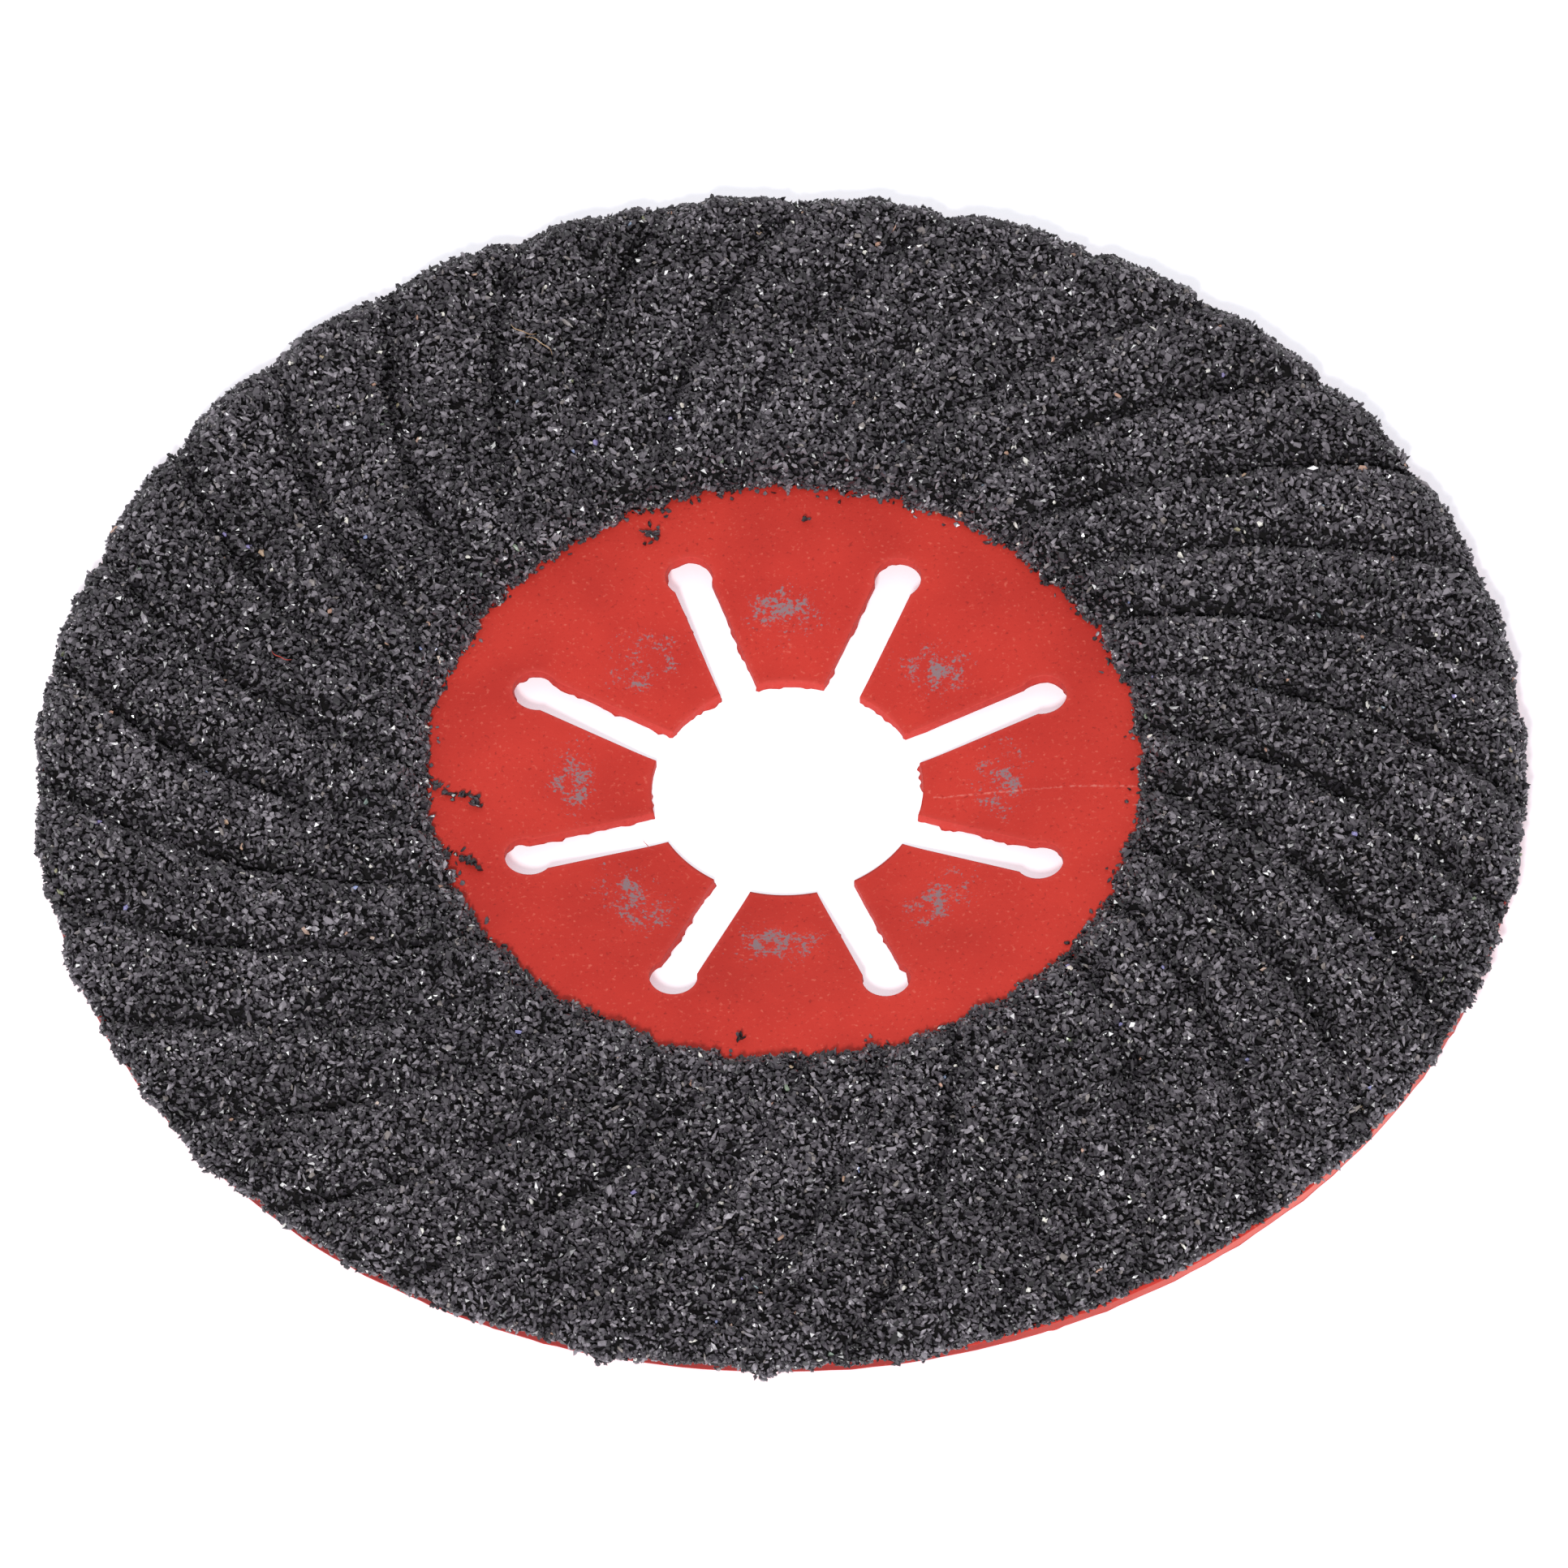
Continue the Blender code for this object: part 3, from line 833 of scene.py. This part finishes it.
def grain_template():
    """Ten points and sixteen triangles: a tip, two turned rings of four, and a tip."""
    quarter = np.arange(4) * np.pi / 2.0
    rings = [
        np.stack([GRAIN_GIRTH * np.cos(turn), GRAIN_GIRTH * np.sin(turn), np.full(4, up)], axis=1)
        for turn, up in ((quarter, GRAIN_SHOULDER), (quarter + np.pi / 4.0, -GRAIN_SHOULDER))
    ]
    points = np.concatenate([[[0.0, 0.0, 1.0]], *rings, [[0.0, 0.0, -1.0]]])
    step = np.arange(4)
    after = (step + 1) % 4
    faces = np.concatenate([
        np.stack([np.zeros(4, int), 1 + step, 1 + after], axis=1),
        np.stack([1 + step, 5 + step, 1 + after], axis=1),
        np.stack([1 + after, 5 + step, 5 + after], axis=1),
        np.stack([5 + step, np.full(4, 9), 5 + after], axis=1),
    ])
    return points, faces


TEMPLATE_POINTS, TEMPLATE_FACES = grain_template()


def turn_matrices(heading, pitch, roll):
    """Rotation that lays the long axis at a heading and pitch, after a roll about itself."""
    zero, one = np.zeros_like(heading), np.ones_like(heading)
    spin, face = (
        np.stack([np.cos(turn), -np.sin(turn), zero, np.sin(turn), np.cos(turn), zero,
                  zero, zero, one], -1).reshape(-1, 3, 3)
        for turn in (roll, heading)
    )
    cos_p, sin_p = np.cos(pitch), np.sin(pitch)
    tip = np.stack([sin_p, zero, cos_p, zero, one, zero, -cos_p, zero, sin_p], -1)
    return face @ tip.reshape(-1, 3, 3) @ spin


def grain_points(centres, scale, draw):
    """Corner points of every grain, as an array of grains by ten by three."""
    count = len(centres)
    jitter = draw.uniform(-GRAIN_JITTER, GRAIN_JITTER, (count, POINTS_EACH, 3))
    stretch = GRAIN_SIZES * draw.uniform(*GRAIN_STRETCH, (count, 3)) * scale[:, None]
    local = (TEMPLATE_POINTS[None] + jitter) * stretch[:, None, :]
    heading = draw.uniform(0.0, 2.0 * np.pi, count)
    pitch = draw.uniform(-GRAIN_PITCH, GRAIN_PITCH, count)
    turns = turn_matrices(heading, pitch, draw.uniform(0.0, 2.0 * np.pi, count))
    turned = local @ turns.transpose(0, 2, 1)
    return turned + centres[:, None, :]


def grain_cells(count):
    """Corner places in the baking map: every triangle of a grain fills the grain's own cell."""
    side = int(np.ceil(np.sqrt(count)))
    cell = np.stack([np.arange(count) % side, np.arange(count) // side], axis=1)
    triangle = np.array([[0.1, 0.1], [0.9, 0.1], [0.5, 0.9]])
    places = (cell[:, None, None, :] + triangle[None, None]) / side
    return np.broadcast_to(places, (count, len(TEMPLATE_FACES), 3, 2)).reshape(-1)


def add_grains(name, centres, scale, tone, draw, material):
    """One piece that holds many grains, each a closed solid of its own."""
    count = len(centres)
    points = grain_points(centres, scale, draw).reshape(-1, 3)
    first = POINTS_EACH * np.arange(count)
    faces = (TEMPLATE_FACES[None] + first[:, None, None]).reshape(-1, 3)
    values = {"grain_tone": np.repeat(tone, POINTS_EACH)}
    piece = add_piece(name, points, faces, material, values, smooth=False)
    bake_map = piece.data.uv_layers.new(name="OFBake")
    bake_map.data.foreach_set("uv", grain_cells(count).astype(np.float32))
    return piece


print("one grain has", len(TEMPLATE_POINTS), "points and", len(TEMPLATE_FACES), "faces")

# %% [markdown]
# ## Scattering the grains
#
# Grains lie on rings about one grain's width apart, pushed off their places at random, at the
# height of the relief. A second, thinner scatter stands prouder, and some places stay empty, which
# makes pits. Fewer stay empty on a slope, where the resin would show. Both edges of the ring need
# grains on their steep sides too, stacked from the fibre upwards, and a fringe of strays on the
# fibre. The ring is split into twelve sectors, so that no piece is too heavy for the programs
# that read it.

# %% Scatter
RING_STEP = 0.31 * MM
GRAIN_STEP = 0.32 * MM
PROUD_STEP = 0.95 * MM
SECTORS = 12
EMPTY_SHARE = 0.03
FLAT_SAVING = 0.2
STEEP_EDGE = (2.6 * MM, 1.0 * MM)
FLAT_LIFT = (-0.28, 0.02)
PROUD_LIFT = (-0.02, 0.16)
EDGE_OFFSET = (-0.3, 0.12)
EDGE_LAYERS = 4
FRINGE_COUNT = 420
FRINGE_REACH = 0.28
DARK_TONES = 0.86
TONE_SPREAD = (1.7, 1.9)
# Painted shade: the span of the share by which grains on a groove's floor are darkened.
VALLEY_SHADE = (0.15, 0.75)
# Painted sparkle: light grey tones for a few grains. The strays' near-white tones are partly
# painted glints.
PAINTED_SPARKLE_TONES = (0.87, 0.935)
STRAY_AND_GLINT_TONES = (0.94, 1.0)
PAINTED_SPARKLE_FROM = 0.984
STRAYS_AND_GLINTS_FROM = 0.9986


def ring_places(first, last, ring_step, grain_step, draw):
    """Radius and angle of places on rings, each ring holding as many as fit, with jitter."""
    rings = np.arange(first, last, ring_step)
    counts = np.round(2.0 * np.pi * rings / grain_step).astype(int)
    radius = np.repeat(rings, counts)
    first_of_ring = np.repeat(np.cumsum(counts) - counts, counts)
    place = np.arange(counts.sum()) - first_of_ring + draw.uniform(0.0, 1.0, counts.sum())
    angle = 2.0 * np.pi * place / np.repeat(counts, counts)
    return radius + draw.uniform(-0.5, 0.5, len(radius)) * ring_step, angle


def grain_tones(radius, angle, draw):
    """Tone of each grain: mostly dark, and darker in the valleys as painted shade. A few light
    grey ones are painted sparkle, and a few are strays of colour, the near-white ones partly
    painted glints.

    Slightly more of the grains on the sides of a groove are light ones.
    """
    count = len(radius)
    tone = draw.beta(*TONE_SPREAD, count) * DARK_TONES
    patch = round_noise(angle, radius, 6.0 * MM, 61)
    groove = groove_share(radius, angle)
    tone = np.clip(tone + 0.08 * patch + 0.05, 0.0, DARK_TONES)
    # Painted shade: grains in a groove are darkened.
    tone *= 1.0 - draw.uniform(*VALLEY_SHADE, count) * np.clip(groove, 0.0, 0.95)
    light = draw.uniform(0.0, 1.0, count) + 0.01 * (groove > 0.05) * (groove < 0.4)
    # Painted sparkle, then strays whose near-white tones are partly painted glints.
    tone = np.where(light > PAINTED_SPARKLE_FROM, draw.uniform(*PAINTED_SPARKLE_TONES, count), tone)
    return np.where(light > STRAYS_AND_GLINTS_FROM, draw.uniform(*STRAY_AND_GLINT_TONES, count), tone)


def surface_grains(draw):
    """Places of the grains on the relief, as radius, angle, height and scale."""
    span = (GRIT_INNER_RADIUS - 1.0 * MM, GRIT_OUTER_RADIUS + 1.6 * MM)
    radius, angle = ring_places(*span, RING_STEP, GRAIN_STEP, draw)
    lift = draw.uniform(*FLAT_LIFT, len(radius)) * MM
    scale = draw.uniform(0.75, 1.2, len(radius))
    groove = groove_share(radius, angle)
    slope = 4.0 * groove * (1.0 - np.clip(groove, 0.0, 1.0))
    from_edge = np.minimum(radius - inner_edge(angle), outer_edge(angle) - radius)
    slope = np.maximum(slope, smooth_step(*STEEP_EDGE, from_edge))
    keep = draw.uniform(0.0, 1.0, len(radius)) > EMPTY_SHARE + FLAT_SAVING * (1.0 - slope)
    more_radius, more_angle = ring_places(*span, PROUD_STEP, PROUD_STEP, draw)
    more_lift = draw.uniform(*PROUD_LIFT, len(more_radius)) * MM
    more_scale = draw.uniform(0.8, 1.45, len(more_radius))
    flat = np.stack([radius, angle, lift, scale])[:, keep]
    proud = np.stack([more_radius, more_angle, more_lift, more_scale])
    radius, angle, lift, scale = both = np.concatenate([flat, proud], axis=1)
    inside = (radius > inner_edge(angle)) & (radius < outer_edge(angle))
    radius, angle, lift, scale = both[:, inside]
    return radius, angle, grit_height(radius, angle) + lift, scale


def edge_grains(edge, direction, step, draw):
    """Grains stacked up the side of the ring, from the fibre to the height of the relief."""
    count = int(2.0 * np.pi * GRIT_OUTER_RADIUS / step) * EDGE_LAYERS
    angle = draw.uniform(0.0, 2.0 * np.pi, count)
    radius = edge(angle) + direction * draw.uniform(*EDGE_OFFSET, count) * MM
    top = grit_height(edge(angle) - direction * 0.2 * MM, angle)
    share = draw.uniform(0.0, 1.0, count)
    height = FIBRE_TOP + 0.05 * MM + share * np.maximum(top - FIBRE_TOP - 0.13 * MM, 0.0)
    return radius, angle, height, draw.uniform(0.7, 1.15, count)


def fringe_grains(draw):
    """Single grains on the bare fibre just inside the ring, thinning out inwards."""
    angle = draw.uniform(0.0, 2.0 * np.pi, FRINGE_COUNT)
    radius = inner_edge(angle) - draw.exponential(FRINGE_REACH, FRINGE_COUNT) * MM
    height = np.full(FRINGE_COUNT, FIBRE_TOP + 0.13 * MM)
    return radius, angle, height, draw.uniform(0.6, 1.05, FRINGE_COUNT)


def scatter_all():
    """All grains of the ring, put together."""
    draw = np.random.default_rng(2024)
    sets = [
        surface_grains(draw),
        edge_grains(inner_edge, -1.0, 0.5 * MM, draw),
        edge_grains(outer_edge, 1.0, 0.3 * MM, draw),
        fringe_grains(draw),
    ]
    radius, angle, height, scale = (np.concatenate(parts) for parts in zip(*sets))
    return radius, angle, height, scale, grain_tones(radius, angle, draw), draw


radius, angle, height, scale, tone, draw = scatter_all()
centres = np.stack([*from_polar(radius, angle), height], axis=1)
sector = (np.mod(angle, 2.0 * np.pi) / (2.0 * np.pi / SECTORS)).astype(int) % SECTORS
print(len(radius), "grains in", SECTORS, "sectors")

# %% Sectors of grains
for part in range(SECTORS):
    chosen = sector == part
    piece = add_grains(
        f"grit_sector_{part + 1:02d}", centres[chosen], scale[chosen], tone[chosen], draw,
        bonded_grain,
    )
    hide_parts("grit_ring")

# %% [markdown]
# A few grains lost their film of resin when the mould opened. They are the ones that glitter, so
# they get the same shapes with a smoother, brighter material, set on top of the rest.

# %% Glittering grains
GLINT_COUNT = 1100


def add_glints():
    """Bare grains on the relief, between the bonded ones."""
    own_draw = np.random.default_rng(77)
    share = own_draw.uniform(0.0, 1.0, GLINT_COUNT)
    inner, outer = GRIT_INNER_RADIUS ** 2, GRIT_OUTER_RADIUS ** 2
    out = np.sqrt(inner + share * (outer - inner))
    way = own_draw.uniform(0.0, 2.0 * np.pi, GLINT_COUNT)
    up = grit_height(out, way) + own_draw.uniform(-0.08, 0.1, GLINT_COUNT) * MM
    places = np.stack([*from_polar(out, way), up], axis=1)
    own_tone = own_draw.uniform(0.1, 0.8, GLINT_COUNT)
    own_scale = own_draw.uniform(0.7, 1.2, GLINT_COUNT)
    return add_grains("grit_glints", places, own_scale, own_tone, own_draw, bare_grain)


glints = add_glints()
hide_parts("grit_ring")

# %% [markdown]
# ## Lumps on the bare fibre
#
# Beside the ring lie two spurs of resin-held grains, a small cluster and two tiny clumps. Each
# sits in the middle of the box that the model gives it, its grains strung along its long axis.
# Each row holds the number of grains, half the length, half the width and the heading.

# %% Lumps
LUMPS = (
    ("grit_spur_a", 44, 2.4, 0.3, 154.0),
    ("grit_spur_b", 36, 1.9, 0.3, 146.3),
    ("grain_cluster", 20, 0.8, 0.5, 176.0),
    ("stray_grain_a", 4, 0.3, 0.2, -81.0),
    ("stray_grain_b", 3, 0.3, 0.2, 158.0),
)


def add_lump(name, count, half_length, half_width, heading, seed):
    """A string of grains that stands for one lump of the model."""
    own_draw = np.random.default_rng(seed)
    low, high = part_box(name)
    middle = (low + high) / 2.0
    along = own_draw.uniform(-half_length, half_length, count) * MM
    across = own_draw.normal(0.0, half_width, count) * MM * 0.7
    bend = 0.3 * MM * np.sin(along / MM * 1.6)
    cos_turn, sin_turn = np.cos(np.radians(heading)), np.sin(np.radians(heading))
    side = across + bend
    places = np.stack([
        middle.x + along * cos_turn - side * sin_turn,
        middle.y + along * sin_turn + side * cos_turn,
        FIBRE_TOP + own_draw.uniform(0.1, 0.62, count) * MM,
    ], axis=1)
    piece = add_grains(
        name + "_grains", places, own_draw.uniform(0.8, 1.2, count),
        own_draw.uniform(0.0, 0.5, count), own_draw, bonded_grain,
    )
    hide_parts(name)


for order, lump in enumerate(LUMPS):
    add_lump(*lump, seed=90 + order)

# %% [markdown]
# ## Loose hairs
#
# Punching and handling leave a few hairs: cotton fibres torn out of the sheet, and tan brush
# bristles caught in the grit. Each is a thin round thread along a bent path. Each row holds the
# two ends, the bow of the path and the thickness, in millimetres, and the look.

# %% Hairs
HAIR_SIDES = 6
HAIR_STEPS = 14
HAIRS = (
    ("hair_tan_a", (-24.4, 45.5, 5.9), (-22.2, 44.5, 5.85), 0.35, 0.09, "tan"),
    ("hair_tan_b", (-23.1, 44.1, 5.9), (-20.8, 42.2, 5.85), -0.45, 0.08, "tan"),
    ("hair_red_a", (-42.9, 10.1, 5.85), (-41.2, 9.2, 5.8), 0.3, 0.07, "red"),
    ("hair_red_b", (-11.6, -6.2, 2.0), (-10.7, -7.3, 1.7), 0.3, 0.06, "red"),
)


def hair_material(name, dark, light):
    """A cotton fibre or a brush bristle, matt, with a tone that drifts along it."""
    material, tree = new_material(name)
    tint = drifting_tint(tree, 1.0 * MM, 2.0, [(0.3, dark), (0.7, light)])[2]
    return finish_material(material, {"Base Color": tint, "Roughness": 0.7, "IOR": 1.53})


def hair_mesh(start, end, bow, thickness):
    """Rings of points round a path that bows sideways by a half sine, drawn in at both tips."""
    share = np.linspace(0.0, 1.0, HAIR_STEPS)
    start, end = np.array(start) * MM, np.array(end) * MM
    along = (end - start) / np.linalg.norm(end - start)
    side = np.cross(along, [0.0, 0.0, 1.0])
    side /= np.linalg.norm(side)
    above = np.cross(side, along)
    wave = np.sin(np.pi * share) + 0.25 * np.sin(3.0 * np.pi * share)
    path = start + share[:, None] * (end - start) + bow * MM * wave[:, None] * side
    girth = 0.5 * thickness * MM * np.sin(np.pi * np.clip(share, 0.04, 0.96)) ** 0.4
    turn = 2.0 * np.pi * np.arange(HAIR_SIDES) / HAIR_SIDES
    ring = np.cos(turn)[:, None] * side + np.sin(turn)[:, None] * above
    points = path[:, None, :] + girth[:, None, None] * ring[None]
    points = np.concatenate([points.reshape(-1, 3), path[:1], path[-1:]])
    number = np.arange(HAIR_STEPS * HAIR_SIDES).reshape(HAIR_STEPS, HAIR_SIDES)
    tips = HAIR_STEPS * HAIR_SIDES + np.array([[0], [1]])
    first, last = (np.repeat(tip, HAIR_SIDES)[None] for tip in tips)
    squares = ring_faces(np.concatenate([first, number, last]))
    return points, np.concatenate([squares[:, [0, 1, 2]], squares[:, [0, 2, 3]]])


def add_hairs():
    """The four hairs, each one piece; faces that collapse at a tip are left out."""
    looks = {
        "tan": hair_material("tan bristle, caught in the grit", "#9C7B5A", "#C7A983"),
        "red": hair_material("red cotton fibre, torn out", "#B5342C", "#D4564A"),
    }
    for name, start, end, bow, thickness, look in HAIRS:
        points, faces = hair_mesh(start, end, bow, thickness)
        ordered = np.sort(faces, axis=1)
        whole = (np.diff(ordered, axis=1) > 0).all(axis=1)
        hair = add_piece(name, points, faces[whole], looks[look])
        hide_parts("fibre_backing")


add_hairs()

# %% [markdown]
# ## Floor, light and camera
#
# The disc lies on a plain white sheet under studio light: a white surround, and one soft lamp on
# the camera's side, low enough to throw a narrow shadow behind every edge. A faint glow of the
# sheet's own stands for the light that it throws back and forth with the surround.

# %% Floor
FLOOR_HALF_SIDE = 2.5
FLOOR_GLOW = 0.42
CLOUD_SIZE = 0.125


def floor_material():
    """White backdrop paper: matt, with a tone variation too faint to draw the eye."""
    material, tree = new_material("white backdrop paper, matt coated")
    tint = drifting_tint(tree, CLOUD_SIZE, 2.0, [(0.3, "#F4F3F5"), (0.7, "#F7F6F7")])[2]
    return finish_material(material, {
        "Base Color": tint, "Roughness": 0.9, "Specular IOR Level": 0.1,
        "Emission Color": colour("#EBF1FF"), "Emission Strength": FLOOR_GLOW,
    })


def add_floor():
    """A flat square under the disc, which isn't part of it."""
    mesh = bpy.data.meshes.new("floor")
    side = FLOOR_HALF_SIDE
    corners = [(-side, -side, 0.0), (side, -side, 0.0), (side, side, 0.0), (-side, side, 0.0)]
    mesh.from_pydata(corners, [], [(0, 1, 2, 3)])
    mesh.materials.append(floor_material())
    floor = add_object("floor", mesh)


add_floor()

# %% Light
SURROUND_STRENGTH = 0.64
KEY_POWER = 13.5
KEY_SIZE = 0.15
KEY_DISTANCE = 1.4
KEY_AZIMUTH = np.radians(-4.0)
KEY_ELEVATION = np.radians(42.0)


def spot_towards(azimuth, elevation, distance):
    """Point at a distance from the origin; azimuth 0 is in front and grows to the right."""
    return distance * np.array([
        np.sin(azimuth) * np.cos(elevation), -np.cos(azimuth) * np.cos(elevation),
        np.sin(elevation),
    ])


def aim(item, place, roll=0.0):
    """Put an object at a place, looking at the origin, turned by a roll about its view.

    The matrix is handed over as its columns: right, above, back and place.
    """
    back = place / np.linalg.norm(place)
    right = np.cross([0.0, 0.0, 1.0], back)
    right /= np.linalg.norm(right)
    above = np.cross(back, right)
    rolled_right = right * np.cos(roll) + above * np.sin(roll)
    rolled_above = -right * np.sin(roll) + above * np.cos(roll)
    matrix = np.eye(4)
    matrix[:3, :] = np.column_stack([rolled_right, rolled_above, back, place])
    item.matrix_world = matrix.T.tolist()


def add_key_light():
    """One square soft lamp."""
    lamp = bpy.data.lights.new("key", "AREA")
    lamp.shape = "SQUARE"
    lamp.size = KEY_SIZE
    lamp.energy = KEY_POWER
    aim(add_object("key", lamp), spot_towards(KEY_AZIMUTH, KEY_ELEVATION, KEY_DISTANCE))


def set_surround():
    """An even surround that the camera sees as pure white and that lights less than that."""
    world = bpy.data.worlds.new("studio surround")
    world.use_nodes = True
    tree = world.node_tree
    tree.nodes.clear()
    seen = add_node(tree, "LightPath").outputs["Is Camera Ray"]
    strength = add_node(tree, "MapRange", inputs={
        "Value": seen, "To Min": SURROUND_STRENGTH, "To Max": 1.0,
    })
    background = add_node(tree, "Background", inputs={
        "Color": colour("#FFFFFF"), "Strength": strength,
    })
    add_node(tree, "OutputWorld", inputs={"Surface": background})
    bpy.context.scene.world = world


add_key_light()
set_surround()
bpy.context.scene.view_settings.view_transform = "Standard"
print("lit")

# %% Camera
CAMERA_DISTANCE = 1.265
CAMERA_AZIMUTH = np.radians(3.09)
CAMERA_ELEVATION = np.radians(51.75)
CAMERA_ROLL = np.radians(-1.97)
LENS = 351.4
SENSOR_WIDTH = 36.0
LENS_SHIFT = (-0.0021, 0.0064)


def add_camera():
    """A long lens from above, slightly rolled and slightly shifted."""
    data = bpy.data.cameras.new("camera")
    data.sensor_width = SENSOR_WIDTH
    data.lens = LENS
    data.shift_x, data.shift_y = LENS_SHIFT
    data.clip_start = 0.05
    data.clip_end = 20.0
    camera = add_object("camera", data)
    aim(camera, spot_towards(CAMERA_AZIMUTH, CAMERA_ELEVATION, CAMERA_DISTANCE), CAMERA_ROLL)
    bpy.context.scene.camera = camera


add_camera()

# %% Update the scene
bpy.context.view_layer.update()
